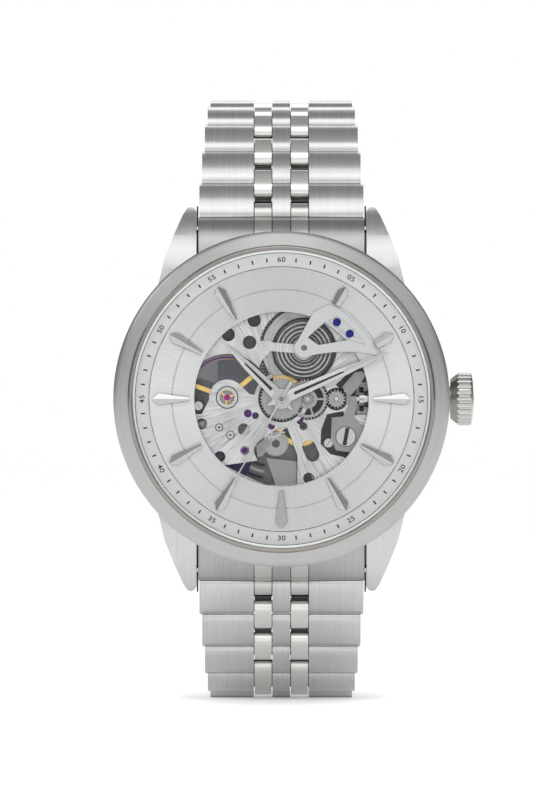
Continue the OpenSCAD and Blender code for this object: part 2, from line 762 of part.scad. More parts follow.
// One row: two outer links and a centre link, two intermediate links, and two pins
module link_row(i, nose) {
    half = row_w(i) / 2;
    difference() {
        for (x = [[-half, -outer_x], [-centre_x, centre_x], [outer_x, half]])
            translate([0, 0, x[0]]) linear_extrude(x[1] - x[0]) link_side_2d();
        for (s = [0, fixed_pin_s]) translate([s, 0, -20]) cylinder(r = pin_r + run, h = 40);
        if (!nose) translate([link_pitch - short_end, -3, -20]) cube([3, 6, 40]);
    }
    difference() {
        for (x = [-inter_x[1], inter_x[0]]) translate([0, 0, x])
            linear_extrude(inter_x[1] - inter_x[0]) inter_side_2d();
        for (s = [fixed_pin_s, link_pitch]) translate([s, 0, -20]) cylinder(r = pin_r + run, h = 40);
        if (!nose) translate([link_pitch - short_end, -3, -20]) cube([6, 6, 40]);
    }
    for (s = [0, fixed_pin_s]) translate([s, 0, 0.3 - half]) cylinder(r = pin_r, h = 2 * half - 0.6);
}
module upper_link(i) { color("silver") on_row(i) link_row(i, true); }
module lower_link(i) { color("silver") mirror([0, 0, 1]) on_row(i) link_row(i, i < rows); }

// ---------- clasp ----------
// Turns a [radius, x] outline about the clasp's X axis, from angle a0 to a1 above the middle
module clasp_arc(a0, a1) {
    translate([0, clasp_y, 0]) rotate(a = 120, v = [1, 1, 1]) rotate(a0)
        rotate_extrude(angle = a1 - a0, $fn = 128) children();
}
// A rectangle from rise r[0] to r[1] of the clasp arc, and from x[0] to x[1]
module strip_2d(r, x) { translate([clasp_r + r[0], x[0]]) square([r[1] - r[0], x[1] - x[0]]); }
module clasp_bar(a, rise, r, x) {
    translate([0, clasp_y, 0]) rotate([a, 0, 0]) translate([x[0], clasp_r + rise, 0]) rotate([0, 90, 0])
        cylinder(r = r, h = x[1] - x[0]);
}
button_angle = -11;
module clasp_cover() {
    color("gainsboro") {
        difference() {
            union() {
                // plate with a skirt along each side
                clasp_arc(-26.15, 21.9) translate([clasp_r, 0]) polygon([
                    [cover_rise[1], -skirt_x[1]], [cover_rise[1], skirt_x[1]], [-1.5, skirt_x[1]], [-1.5, skirt_x[0]],
                    [cover_rise[0], skirt_x[0]], [cover_rise[0], -skirt_x[0]], [-1.5, -skirt_x[0]], [-1.5, -skirt_x[1]]
                ]);
                // ears of the blade hinge, and the end that takes the bracelet's spring bar
                for (x = [[-7.5, -5.2], [5.2, 7.5]]) {
                    clasp_bar(cover_hinge, cover_hinge_rise, 0.85, x);
                    clasp_arc(cover_hinge - 0.6, cover_hinge + 0.2) strip_2d([0.9, 1.6], x);
                }
                clasp_arc(-26.7, -25.2) strip_2d([0, 1.7], [-7.1, 7.1]);
                clasp_bar(-clasp_half, 0, 1.42, [-7.7, 7.7]);
            }
            clasp_bar(cover_hinge, cover_hinge_rise, 0.43, [-7.2, 7.2]);
            clasp_bar(-clasp_half, 0, 0.55, [-9, 9]);
            for (s = [-1, 1]) button_box(s, [6, 10], 0.05);
        }
        clasp_bar(cover_hinge, cover_hinge_rise, 0.4, [-7.1, 7.1]);
        clasp_bar(-clasp_half, 0, 0.52, [-8, 8]);
    }
}
module middle_blade() {
    knuckle = 1.5;
    color("silver") {
        difference() {
            union() {
                clasp_arc(blade_hinge + 1.6, cover_hinge - 1.2) strip_2d(middle_rise, [-blade_x, blade_x]);
                clasp_arc(cover_hinge - 1.4, cover_hinge) strip_2d([0.05, 1.05], [-5.0, 5.0]);
                clasp_bar(cover_hinge, cover_hinge_rise, 0.85, [-5.0, 5.0]);
                clasp_arc(blade_hinge, blade_hinge + 1.8) strip_2d([0.1, 1.05], [-2.3, 2.3]);
                clasp_bar(blade_hinge, blade_hinge_rise, 1.2, [-2.3, 2.3]);
            }
            clasp_bar(cover_hinge, cover_hinge_rise, 0.43, [-9, 9]);
            clasp_bar(blade_hinge, blade_hinge_rise, 0.53, [-9, 9]);
            clasp_arc(-14, 14) strip_2d([0, 2], [-3.2, 3.2]);
        }
    }
}
module inner_blade() {
    color("silver") {
        difference() {
            union() {
                clasp_arc(blade_hinge + 1.6, clasp_half) strip_2d(inner_rise, [-blade_x, blade_x]);
                for (x = [[-blade_x, -2.4], [2.4, blade_x]]) {
                    clasp_arc(blade_hinge, blade_hinge + 1.8) strip_2d([-1.33, -0.6], x);
                    clasp_bar(blade_hinge, blade_hinge_rise, 1.2, x);
                }
                clasp_bar(clasp_half, 0, nose_r, [-7.4, 7.4]);
            }
            clasp_bar(blade_hinge, blade_hinge_rise, 0.53, [-9, 9]);
            clasp_bar(clasp_half, 0, pin_r + run, [-9, 9]);
            // room for the last row's intermediate links
            for (x = [inter_x, [-inter_x[1], -inter_x[0]]])
                clasp_bar(clasp_half, 0, socket_r, [x[0] - column_gap, x[1] + column_gap]);
            clasp_arc(-17, 18) strip_2d([-2, 0], [-4, 4]);
        }
        clasp_bar(blade_hinge, blade_hinge_rise, 0.5, [-blade_x, blade_x]);
        clasp_bar(clasp_half, 0, pin_r, [-7.2, 7.2]);
    }
}
module button_box(side, x, grow) {
    translate([0, clasp_y, 0]) rotate([button_angle, 0, 0]) translate([0, clasp_r + 0.1, 0])
        mirror([side < 0 ? 1 : 0, 0, 0]) translate([x[0], -0.9 - grow, -2.4 - grow])
            cube([x[1] - x[0], 1.8 + 2 * grow, 4.8 + 2 * grow]);
}
module push_button(side) {
    color("gainsboro") {
        button_box(side, [7.05, 8.9], 0);
        button_box(side, [6.95, 7.3], 0.3);
    }
}
module push_button_left() { push_button(-1); }
module push_button_right() { push_button(1); }

// ---------- the pieces ----------
case_middle();
bezel();
front_crystal();
case_back();
back_crystal();
end_links();
spring_bars();
chapter_ring();
dial();
hour_markers();
dial_bridge();
blued_screws();
hour_hand();
minute_hand();
second_hand();
movement_ring();
main_plate();
rear_bridge();
balance_cock();
jewels();
plate_screws();
barrel();
center_wheel();
third_wheel();
fourth_wheel();
escape_wheel();
pallet_fork();
balance_wheel();
hairspring();
cannon_pinion();
minute_wheel();
hour_wheel();
setting_wheel();
setting_lever();
winding_stem();
crown();
rotor();
for (i = [1:rows]) {
    upper_link(i);
    lower_link(i);
}
clasp_cover();
middle_blade();
inner_blade();
push_button_left();
push_button_right();
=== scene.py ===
"""Looks of the skeleton wristwatch: finishes, printed track, movement detail, light and camera."""
import json
import math

import bpy
import bmesh
from mathutils import Matrix, Vector

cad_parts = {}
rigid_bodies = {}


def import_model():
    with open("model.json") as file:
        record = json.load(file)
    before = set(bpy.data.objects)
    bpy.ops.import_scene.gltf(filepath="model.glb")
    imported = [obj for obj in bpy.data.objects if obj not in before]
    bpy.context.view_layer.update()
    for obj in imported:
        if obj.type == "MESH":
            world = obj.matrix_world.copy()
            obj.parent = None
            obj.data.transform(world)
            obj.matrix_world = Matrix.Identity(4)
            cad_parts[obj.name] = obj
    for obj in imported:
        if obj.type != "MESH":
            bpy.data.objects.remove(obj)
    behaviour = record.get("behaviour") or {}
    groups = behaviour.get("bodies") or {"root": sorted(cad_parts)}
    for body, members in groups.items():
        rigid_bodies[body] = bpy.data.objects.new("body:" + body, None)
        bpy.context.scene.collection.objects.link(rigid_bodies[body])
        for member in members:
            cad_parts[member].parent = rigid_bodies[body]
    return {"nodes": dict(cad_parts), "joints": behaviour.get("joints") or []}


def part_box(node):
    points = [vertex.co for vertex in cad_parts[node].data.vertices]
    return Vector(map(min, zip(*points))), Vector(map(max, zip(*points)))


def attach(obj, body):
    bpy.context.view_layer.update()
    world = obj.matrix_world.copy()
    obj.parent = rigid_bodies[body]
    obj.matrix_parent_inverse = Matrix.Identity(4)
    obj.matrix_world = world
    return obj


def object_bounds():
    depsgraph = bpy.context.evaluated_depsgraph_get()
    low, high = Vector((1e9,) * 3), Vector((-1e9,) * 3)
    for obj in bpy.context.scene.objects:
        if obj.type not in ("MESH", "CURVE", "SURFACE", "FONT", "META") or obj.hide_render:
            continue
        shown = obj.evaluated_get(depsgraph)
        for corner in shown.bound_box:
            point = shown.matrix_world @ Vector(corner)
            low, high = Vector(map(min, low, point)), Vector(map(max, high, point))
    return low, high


for leftover in list(bpy.data.objects):
    bpy.data.objects.remove(leftover)
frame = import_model()
CAD_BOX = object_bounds()
NODES = frame["nodes"]
MM = 0.001

# Axes of the watch, the balance, the barrel and three jewels of the plate, flat in millimetres
AXIS = (0, 0)
BALANCE = (-6.8, 0.2)
BARREL = (2.8, 6.2)
UPPER_JEWEL = (-7.8, -3.55)
LOWER_JEWEL = (-6.4, -4.5)
RIGHT_JEWEL = (2.75, -3.4)


def watch(x, y, z):
    """A point given flat in millimetres (x right, y to 12, z to the crystal), in the row frame."""
    return Vector((x, -z, y)) * MM


# ---------- material nodes ----------
class Shader:
    """A material under construction: nodes are added by type and wired by keyword."""

    def __init__(self, name):
        self.mat = bpy.data.materials.new(name)
        self.mat.use_nodes = True
        self.tree = self.mat.node_tree
        self.tree.nodes.clear()
        self.out = self.node("ShaderNodeOutputMaterial")

    def node(self, kind, **settings):
        n = self.tree.nodes.new(kind)
        for key, value in settings.items():
            setattr(n, key, value)
        return n

    def wire(self, source, target):
        self.tree.links.new(source, target)

    def put(self, socket, value):
        """Links a socket to another, or sets its value."""
        if isinstance(value, bpy.types.NodeSocket):
            self.wire(value, socket)
        else:
            socket.default_value = value

    def math(self, op, a, b=0.0):
        """One step of arithmetic, on sockets or numbers."""
        n = self.node("ShaderNodeMath", operation=op)
        self.put(n.inputs[0], a)
        self.put(n.inputs[1], b)
        return n.outputs[0]

    def spread(self, value, low, high, from_low=0.0, from_high=1.0):
        """Maps a value from one range to another, clamped."""
        n = self.node("ShaderNodeMapRange")
        for i, v in enumerate((value, from_low, from_high, low, high)):
            self.put(n.inputs[i], v)
        return n.outputs[0]

    def mix(self, factor, a, b):
        """A colour between two, by a factor."""
        n = self.node("ShaderNodeMix", data_type="RGBA")
        self.put(n.inputs[0], factor)
        self.put(n.inputs[6], a)
        self.put(n.inputs[7], b)
        return n.outputs[2]

    def blend(self, factor, a, b):
        """A value between two, by a factor."""
        n = self.node("ShaderNodeMix")
        for i, v in ((0, factor), (2, a), (3, b)):
            self.put(n.inputs[i], v)
        return n.outputs[0]

    def place(self):
        """Object coordinates, in metres of the row frame."""
        return self.node("ShaderNodeTexCoord").outputs["Object"]

    def inside(self, value, low, high, soft=0.01):
        """1 where a value in metres lies between two limits in millimetres, else 0."""
        rise = self.spread(value, 0, 1, (low - soft) * MM, (low + soft) * MM)
        fall = self.spread(value, 1, 0, (high - soft) * MM, (high + soft) * MM)
        return self.math("MULTIPLY", rise, fall)

    def axis(self, letter):
        xyz = self.node("ShaderNodeSeparateXYZ")
        self.wire(self.place(), xyz.inputs[0])
        return xyz.outputs["XYZ".index(letter)]

    def distance(self, centre=AXIS):
        """Distance from an axis that runs through the watch at a place given flat in millimetres."""
        x = self.math("SUBTRACT", self.axis("X"), centre[0] * MM)
        z = self.math("SUBTRACT", self.axis("Z"), centre[1] * MM)
        return self.length(x, z)

    def length(self, x, z):
        """Length of a flat vector."""
        return self.math("SQRT", self.math("ADD", self.math("MULTIPLY", x, x), self.math("MULTIPLY", z, z)))

    def scaled(self, scale, turn=(0, 0, 0)):
        """Object coordinates turned, then scaled per axis (in 1/m)."""
        turned = self.node("ShaderNodeMapping", vector_type="TEXTURE")
        turned.inputs["Rotation"].default_value = turn
        self.wire(self.place(), turned.inputs[0])
        n = self.node("ShaderNodeMapping")
        n.inputs["Scale"].default_value = scale
        self.wire(turned.outputs[0], n.inputs[0])
        return n.outputs[0]

    def polar(self, radial, angular, centre=AXIS):
        """Coordinates round the watch's axis: distance times radial, direction times angular."""
        xyz = self.node("ShaderNodeSeparateXYZ")
        self.wire(self.place(), xyz.inputs[0])
        x = self.math("SUBTRACT", xyz.outputs[0], centre[0] * MM)
        z = self.math("SUBTRACT", xyz.outputs[2], centre[1] * MM)
        r = self.length(x, z)
        join = self.node("ShaderNodeCombineXYZ")
        self.wire(self.math("MULTIPLY", r, radial), join.inputs[0])
        self.wire(self.math("MULTIPLY", self.math("DIVIDE", x, r), angular), join.inputs[1])
        self.wire(self.math("MULTIPLY", self.math("DIVIDE", z, r), angular), join.inputs[2])
        return join.outputs[0]

    def noise(self, vector, scale=1.0, detail=4.0, rough=0.6):
        n = self.node("ShaderNodeTexNoise")
        self.wire(vector, n.inputs["Vector"])
        n.inputs["Scale"].default_value = scale
        n.inputs["Detail"].default_value = detail
        n.inputs["Roughness"].default_value = rough
        return n.outputs["Fac"]

    def painted_crevice_shade(self, reach=0.35):
        """Painted shade from ambient occlusion: 0 in a narrow gap or a tight corner, 1 on an open face;
        reach is in millimetres.
        """
        n = self.node("ShaderNodeAmbientOcclusion", samples=6)
        n.inputs["Distance"].default_value = reach * MM
        return self.spread(n.outputs["AO"], 0, 1, 0.15, 0.6)

    def bump(self, height, distance, strength=1.0):
        n = self.node("ShaderNodeBump")
        n.inputs["Strength"].default_value = strength
        n.inputs["Distance"].default_value = distance
        self.wire(height, n.inputs["Height"])
        return n.outputs[0]

    def surface(self, **inputs):
        """The principled shader, with sockets named by keyword (spaces as _)."""
        n = self.node("ShaderNodeBsdfPrincipled")
        for key, value in inputs.items():
            self.put(n.inputs[key.replace("_", " ")], value)
        self.wire(n.outputs[0], self.out.inputs["Surface"])
        return n


# How dark the painted shade in a gap is beside its metal, how far a streak moves the roughness, the part of
# the noise that counts for this, and the height of buffing marks in metres
CREVICE_SHADE_TONE = 0.12
GLOSS_SPREAD = 0.04
STREAK_RANGE = (0.3, 0.7)
POLISH_WAVES = 1.5e-6


def shade(colour, factor):
    """A colour made lighter or darker, with its alpha."""
    return tuple(min(1.0, c * factor) for c in colour) + (1.0,)


def grained(name, colour, rough, grain, contrast=0.08, depth=2e-6, anisotropic=0.0,
            turned=0.0, tangent=None, crease_shade=True, zones=()):
    """Metal with a grain: grain(shader) gives the streaks' coordinates, zones give other finishes and, on
    the barrel, painted shade.

    A zone is (mask(shader), colour, roughness); the last one wins. Crease shade paints shade into the narrow
    gaps.
    """
    s = Shader(name)
    streaks = s.noise(grain(s), detail=5)
    clouds = s.noise(s.place(), scale=260, detail=2)
    tone = s.math("ADD", s.math("MULTIPLY", streaks, 0.75), s.math("MULTIPLY", clouds, 0.25))
    tone = s.spread(tone, 0, 1, 0.36, 0.64)
    tint = s.mix(tone, shade(colour, 1 - contrast), shade(colour, 1 + contrast))
    gloss = s.spread(streaks, rough - GLOSS_SPREAD, rough + GLOSS_SPREAD, *STREAK_RANGE)
    height = streaks
    for mask, other, smooth in zones:
        factor = mask(s)
        tint = s.mix(factor, tint, s.mix(clouds, shade(other, 0.93), shade(other, 1.07)))
        gloss = s.blend(factor, gloss, s.spread(clouds, smooth * 0.8, smooth * 1.25, *STREAK_RANGE))
        height = s.blend(factor, height, clouds)
    # Painted shade: ambient occlusion darkens the colour in gaps and corners
    if crease_shade:
        tint = s.mix(s.painted_crevice_shade(), shade(colour, CREVICE_SHADE_TONE), tint)
    shader = s.surface(Base_Color=tint, Metallic=1.0, Roughness=gloss, Normal=s.bump(height, depth),
                       Anisotropic=anisotropic, Anisotropic_Rotation=turned)
    if tangent:
        t = s.node("ShaderNodeTangent", direction_type="RADIAL", axis=tangent)
        s.wire(t.outputs[0], shader.inputs["Tangent"])
    return s.mat


def polished(name, colour, rough):
    """Mirror metal with faint buffing marks and a little uneven gloss."""
    s = Shader(name)
    marks = s.noise(s.scaled((9000, 1500, 1500)), detail=3)
    clouds = s.noise(s.place(), scale=500, detail=3)
    tint = s.mix(clouds, shade(colour, 0.94), shade(colour, 1.05))
    s.surface(
        # Painted shade: ambient occlusion darkens the colour in gaps and corners
        Base_Color=s.mix(s.painted_crevice_shade(), shade(colour, CREVICE_SHADE_TONE), tint),
        Metallic=1.0,
        Roughness=s.spread(clouds, rough * 0.7, rough * 1.4, *STREAK_RANGE),
        Normal=s.bump(marks, POLISH_WAVES),
    )
    return s.mat


def along(axes, across, length=0, turn=0.0):
    """Grain that runs along axes of the row frame, turned about the watch's own axis; even without any."""
    scale = [length if letter in axes else across for letter in "XYZ"]
    return lambda s: s.scaled(scale, (0, turn, 0))


def round_axis(radial, angular, centre=AXIS):
    """Grain in circles round an axis, or rays when radial is small and angular large."""
    return lambda s: s.polar(radial, angular, centre)


def columns(s):
    """Mask of the polished intermediate links, between the satin centre and outer ones."""
    return s.inside(s.math("ABSOLUTE", s.axis("X")), 1.17, 3.43)


def band(low, high, centre=AXIS):
    """Mask between two distances from an axis through the watch."""
    return lambda s: s.inside(s.distance(centre), low, high)


def disc(radius, centre=AXIS):
    """Mask within a distance of such an axis."""
    return band(-1, radius, centre)


def groove_floor_shade(s):
    """Mask of the barrel's grooves, by depth, whose floors get painted shade."""
    return s.inside(s.axis("Y"), -5.7, -5.22)


def shock_spring(s):
    """Mask of the gilt spring on the balance jewel: a ring, and only near its face."""
    return s.math("MULTIPLY", s.inside(s.distance(BALANCE), 0.25, 1.1), s.inside(s.axis("Y"), -6.27, -6.05))


# Edge of the dial's flange, and the polished step between it and the bezel's brushed face
FLANGE_IN = 17
STEP_IN = 18.62
STEP_OUT = 19.16

STEEL = (0.55, 0.55, 0.55)
COOL = (0.52, 0.525, 0.535)
POLISH = (0.52, 0.515, 0.5)
IVORY = (0.7, 0.69, 0.67)
PALE = (0.95, 0.95, 0.94)
SILVER = (0.93, 0.93, 0.925)
BEZEL = (0.47, 0.47, 0.468)
STEP_TONE = (0.3, 0.28, 0.26)
# The end links' satin, darkened as painted shade from the bezel
END_LINK_IN_PAINTED_SHADE = (0.38, 0.384, 0.39)
RHODIUM = (0.56, 0.56, 0.555)
# Painted shade of the barrel's groove floors
GROOVE_SHADE = (0.19, 0.19, 0.195)
GOLD = (0.83, 0.58, 0.2)
COPPER = (0.3, 0.19, 0.15)
BLUE = (0.02, 0.03, 0.2)
PURPLE = (0.1, 0.03, 0.14)
PLUM = (0.035, 0.025, 0.075)

BEZEL_ZONES = [(band(FLANGE_IN, STEP_IN), PALE, 0.35), (band(STEP_IN, STEP_OUT), STEP_TONE, 0.14)]
RUBY_ZONES = [
    (band(0.86, 1.4, BALANCE), STEEL, 0.18),
    (disc(0.86, BALANCE), (0.3, 0.28, 0.3), 0.3),
    (shock_spring, GOLD, 0.15),
    (disc(0.36, BALANCE), (0.4, 0.02, 0.25), 0.1),
    (disc(0.6, UPPER_JEWEL), STEEL, 0.2),
    (disc(0.6, LOWER_JEWEL), STEEL, 0.2),
    (disc(0.5, RIGHT_JEWEL), (0.08, 0.08, 0.085), 0.2),
]
BALANCE_ZONES = [(disc(4.72, BALANCE), GOLD, 0.2), (band(4.95, 5.14, BALANCE), BLUE, 0.15)]

MATERIALS = {
    "case": grained("case_steel", STEEL, 0.3, along("YZ", 5500, 90), contrast=0.06),
    "bezel": grained("bezel_steel", BEZEL, 0.42, round_axis(5000, 1.5), contrast=0.06, anisotropic=0.7,
                     turned=0.25, tangent="Y", crease_shade=False, zones=BEZEL_ZONES),
    "link": grained("link_satin", COOL, 0.24, along("YZ", 6500, 60), contrast=0.07,
                    zones=[(columns, IVORY, 0.22)]),
    # End links: satin darkened as painted shade from the bezel
    "end": grained("end_link_satin_painted_shade", END_LINK_IN_PAINTED_SHADE, 0.3, along("YZ", 6500, 90), contrast=0.09,
                   zones=[(columns, POLISH, 0.22)]),
    "pin": polished("pin_steel", STEEL, 0.15),
    "hand": polished("hand_steel", POLISH, 0.14),
    "dial": grained("dial_silver", SILVER, 0.6, round_axis(250, 150), contrast=0.05, anisotropic=0.85,
                    tangent="Y"),
    "plate": grained("plate_rhodium", RHODIUM, 0.3, round_axis(300, 70), contrast=0.34, depth=8e-6),
    "plum": grained("plum_steel", PLUM, 0.3, along("X", 5000, 300), contrast=0.4),
    # Dark grey, which paints the shade of deep parts: the rear bridge, the balance cock and the link tubes
    "deep": grained("deep_grey_and_painted_shade", (0.16, 0.16, 0.165), 0.4, round_axis(3500, 3), contrast=0.2),
    "bridge": grained("bridge_satin", (0.62, 0.62, 0.615), 0.4, along("X", 8000, 300), contrast=0.04),
    "grey": grained("movement_grey", (0.2, 0.2, 0.21), 0.4, round_axis(4000, 3), contrast=0.12),
    "barrel": grained("barrel_steel", (0.42, 0.42, 0.42), 0.3, round_axis(5000, 3, BARREL), contrast=0.3,
                      zones=[(groove_floor_shade, GROOVE_SHADE, 0.4)]),
    "blued": polished("blued_steel", BLUE, 0.2),
    "ruby": grained("ruby", PURPLE, 0.12, along("", 3000), contrast=0.3, zones=RUBY_ZONES),
    "gilt": grained("gilt_brass", GOLD, 0.25, round_axis(8000, 4), contrast=0.1),
    "balance": grained("balance_alloy", COPPER, 0.22, round_axis(6000, 3, BALANCE), zones=BALANCE_ZONES),
    "spring": polished("spring_steel", (0.2, 0.2, 0.26), 0.2),
    "wheel": grained("wheel_steel", (0.36, 0.36, 0.36), 0.25, round_axis(9000, 4), contrast=0.1),
    "lever": grained("lever_steel", (0.3, 0.3, 0.3), 0.33, along("Z", 8000, 600, math.radians(-30)),
                     contrast=0.12),
    "rotor": grained("rotor_steel", STEEL, 0.28, round_axis(6000, 3), contrast=0.1),
    "clasp": grained("clasp_steel", COOL, 0.28, along("YZ", 6500, 90), contrast=0.08),
    "crown": polished("crown_steel", (0.47, 0.46, 0.44), 0.2),
}


def track_white():
    """The minute track's matt white."""
    s = Shader("white_track")
    grain = s.noise(s.place(), scale=9000, detail=2)
    s.surface(
        Base_Color=s.mix(grain, (0.9, 0.9, 0.89, 1), (0.96, 0.96, 0.955, 1)),
        Roughness=s.spread(grain, 0.42, 0.55),
        Normal=s.bump(grain, 1e-6),
    )
    return s.mat


def clear_crystal():
    """Coated crystal: seen straight through, with a faint gloss that grows at its edge."""
    s = Shader("crystal_glass")
    smear = s.noise(s.place(), scale=90, detail=2)
    gloss = s.node("ShaderNodeBsdfGlossy")
    s.put(gloss.inputs["Roughness"], s.spread(smear, 0.01, 0.04))
    clear = s.node("ShaderNodeBsdfTransparent")
    clear.inputs["Color"].default_value = (0.985, 0.99, 0.99, 1)
    fresnel = s.node("ShaderNodeFresnel")
    fresnel.inputs["IOR"].default_value = 1.18
    mix = s.node("ShaderNodeMixShader")
    s.wire(fresnel.outputs[0], mix.inputs[0])
    s.wire(clear.outputs[0], mix.inputs[1])
    s.wire(gloss.outputs[0], mix.inputs[2])
    s.wire(mix.outputs[0], s.out.inputs["Surface"])
    return s.mat


def smoked_crystal():
    """The case back's tinted glass."""
    s = Shader("smoked_glass")
    smear = s.noise(s.place(), scale=120, detail=2)
    gloss = s.node("ShaderNodeBsdfGlossy")
    s.put(gloss.inputs["Color"], s.mix(smear, (0.28, 0.28, 0.3, 1), (0.34, 0.34, 0.36, 1)))
    s.put(gloss.inputs["Roughness"], s.spread(smear, 0.05, 0.15))
    clear = s.node("ShaderNodeBsdfTransparent")
    clear.inputs["Color"].default_value = (0.42, 0.43, 0.45, 1)
    mix = s.node("ShaderNodeMixShader")
    mix.inputs[0].default_value = 0.3
    s.wire(clear.outputs[0], mix.inputs[1])
    s.wire(gloss.outputs[0], mix.inputs[2])
    s.wire(mix.outputs[0], s.out.inputs["Surface"])
    return s.mat


def black_for_print_and_shade():
    """Ink of the track, and the black that paints shade in every gap and recess that has to look empty."""
    s = Shader("track_print_and_painted_shade")
    fleck = s.noise(s.place(), scale=20000, detail=2)
    s.surface(Base_Color=s.mix(fleck, (0.008, 0.008, 0.009, 1), (0.02, 0.02, 0.021, 1)),
              Roughness=s.spread(fleck, 0.35, 0.5))
    return s.mat


MATERIALS["white"] = track_white()
MATERIALS["crystal"] = clear_crystal()
MATERIALS["smoked"] = smoked_crystal()
MATERIALS["ink"] = black_for_print_and_shade()

SLOT_LOOKS = {
    "case_steel": "case", "bezel_steel": "bezel", "crystal_glass": "crystal", "link_steel": "link",
    "pin_steel": "pin", "white_track": "white", "dial_silver": "dial", "polished_steel": "hand",
    "bridge_satin": "bridge", "blued_steel": "blued", "movement_grey": "grey", "plate_rhodium": "plate",
    "ruby": "ruby", "gilt_brass": "gilt", "balance_alloy": "balance", "spring_steel": "spring",
    "wheel_steel": "wheel", "lever_steel": "lever", "rotor_steel": "rotor", "clasp_steel": "clasp",
    "blade_steel": "clasp",
}
# The rear bridge and balance cock take the dark grey as painted shade of their depth; the end links take the
# satin darkened as painted shade
NODE_LOOKS = {"rear_bridge": "deep", "balance_cock": "deep", "barrel": "barrel", "crown": "crown",
              "back_crystal": "smoked", "end_links": "end"}


# ---------- finishing of the CAD nodes ----------
JOIN_DISTANCE = 1e-7
SHARP_ANGLE = 28
BEVEL_ANGLE = 30


def edge_tools():
    """Geometry nodes that join a CAD mesh's faces and shade it smooth but for its sharp edges."""
    g = bpy.data.node_groups.new("join_faces", "GeometryNodeTree")
    g.interface.new_socket("Geometry", in_out="INPUT", socket_type="NodeSocketGeometry")
    g.interface.new_socket("Geometry", in_out="OUTPUT", socket_type="NodeSocketGeometry")
    add, link = g.nodes.new, g.links.new
    start, end = add("NodeGroupInput"), add("NodeGroupOutput")
    drop = add("GeometryNodeRemoveAttribute")
    drop.inputs["Name"].default_value = "custom_normal"
    merge = add("GeometryNodeMergeByDistance")
    merge.inputs["Distance"].default_value = JOIN_DISTANCE
    angle = add("GeometryNodeInputMeshEdgeAngle")
    sharp = add("FunctionNodeCompare")
    sharp.operation = "GREATER_THAN"
    sharp.inputs[1].default_value = math.radians(SHARP_ANGLE)
    faces, edges = add("GeometryNodeSetShadeSmooth"), add("GeometryNodeSetShadeSmooth")
    faces.domain, edges.domain = "FACE", "EDGE"
    edges.inputs["Shade Smooth"].default_value = False
    link(start.outputs[0], drop.inputs["Geometry"])
    link(drop.outputs[0], merge.inputs["Geometry"])
    link(merge.outputs[0], faces.inputs["Geometry"])
    link(faces.outputs[0], edges.inputs["Geometry"])
    link(angle.outputs["Unsigned Angle"], sharp.inputs[0])
    link(sharp.outputs[0], edges.inputs["Selection"])
    link(edges.outputs[0], end.inputs[0])
    return g


JOIN = edge_tools()


def soften(obj, width):
    """Joins an object's faces and rounds its edges by a width in millimetres."""
    obj.modifiers.new("join", "NODES").node_group = JOIN
    b = obj.modifiers.new("edges", "BEVEL")
    b.width, b.segments = width * MM, 2
    b.limit_method, b.angle_limit = "ANGLE", math.radians(BEVEL_ANGLE)
    b.use_clamp_overlap = True
    b.harden_normals = True


# Widths of the rounded edges: by node, on the bracelet's links, and on all the rest
EDGE = {
    "case_middle": 0.12, "bezel": 0.05, "end_links": 0.08, "crown": 0.04, "clasp_cover": 0.12,
    "case_back": 0.08, "dial": 0.03, "chapter_ring": 0.02, "hour_markers": 0.015, "dial_bridge": 0.04,
    "main_plate": 0.05,
}
LINK_EDGE = 0.32
PLAIN_EDGE = 0.02


def dress(name):
    """Gives a CAD node its look and its edges."""
    obj = NODES[name]
    for s in obj.material_slots:
        look = NODE_LOOKS.get(name) or SLOT_LOOKS[s.material.name.split(".")[0]]
        s.material = MATERIALS[look]
    soften(obj, EDGE.get(name, LINK_EDGE if "_link_" in name else PLAIN_EDGE))


for node in NODES:
    dress(node)


# ---------- new pieces ----------
def rectangle(xs, ys):
    """Corners of a rectangle, counter-clockwise, between two places on each axis."""
    return [(xs[0], ys[0]), (xs[1], ys[0]), (xs[1], ys[1]), (xs[0], ys[1])]


def piece(name, verts, faces, material, body):
    """A mesh piece given in row-frame metres."""
    mesh = bpy.data.meshes.new(name)
    mesh.from_pydata(verts, [], faces)
    mesh.update()
    obj = bpy.data.objects.new(name, mesh)
    bpy.context.scene.collection.objects.link(obj)
    mesh.materials.append(material)
    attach(obj, body)
    return obj


# Minute track: radii of the ticks, the radius and height of its inner edge, its slope and the print's height
TRACK = (17.15, 17.65)
TRACK_FOOT = (16.75, 8.98)
TRACK_SLOPE = 0.237
PRINT = 0.012
TICK_WIDTH = 0.19
TICK_DEPTH = 0.1
NUMERAL_HEIGHT = 0.86
NUMERAL_WIDEN = 1.2
NUMERAL_BOLD = 0.012
NUMERAL_HALF_DEPTH = 0.04


def track_z(r):
    """Height of the sloping minute track at a radius."""
    return TRACK_FOOT[1] + (r - TRACK_FOOT[0]) * TRACK_SLOPE


def ray(angle):
    """Unit vectors along a clock angle and across it."""
    a = math.radians(90 - angle)
    return Vector((math.cos(a), math.sin(a))), Vector((-math.sin(a), math.cos(a)))


def slab(name, outline, z0, z1, look, body, slot):
    """A flat piece: a closed outline, counter-clockwise as seen from the dial, between two heights."""
    n = len(outline)
    verts = [watch(x, y, z) for z in (z0, z1) for x, y in outline]
    sides = [(i, (i + 1) % n, (i + 1) % n + n, i + n) for i in range(n)]
    faces = [tuple(range(n))[::-1], tuple(range(n, 2 * n))] + sides
    return piece(name, verts, faces, MATERIALS[look], body)


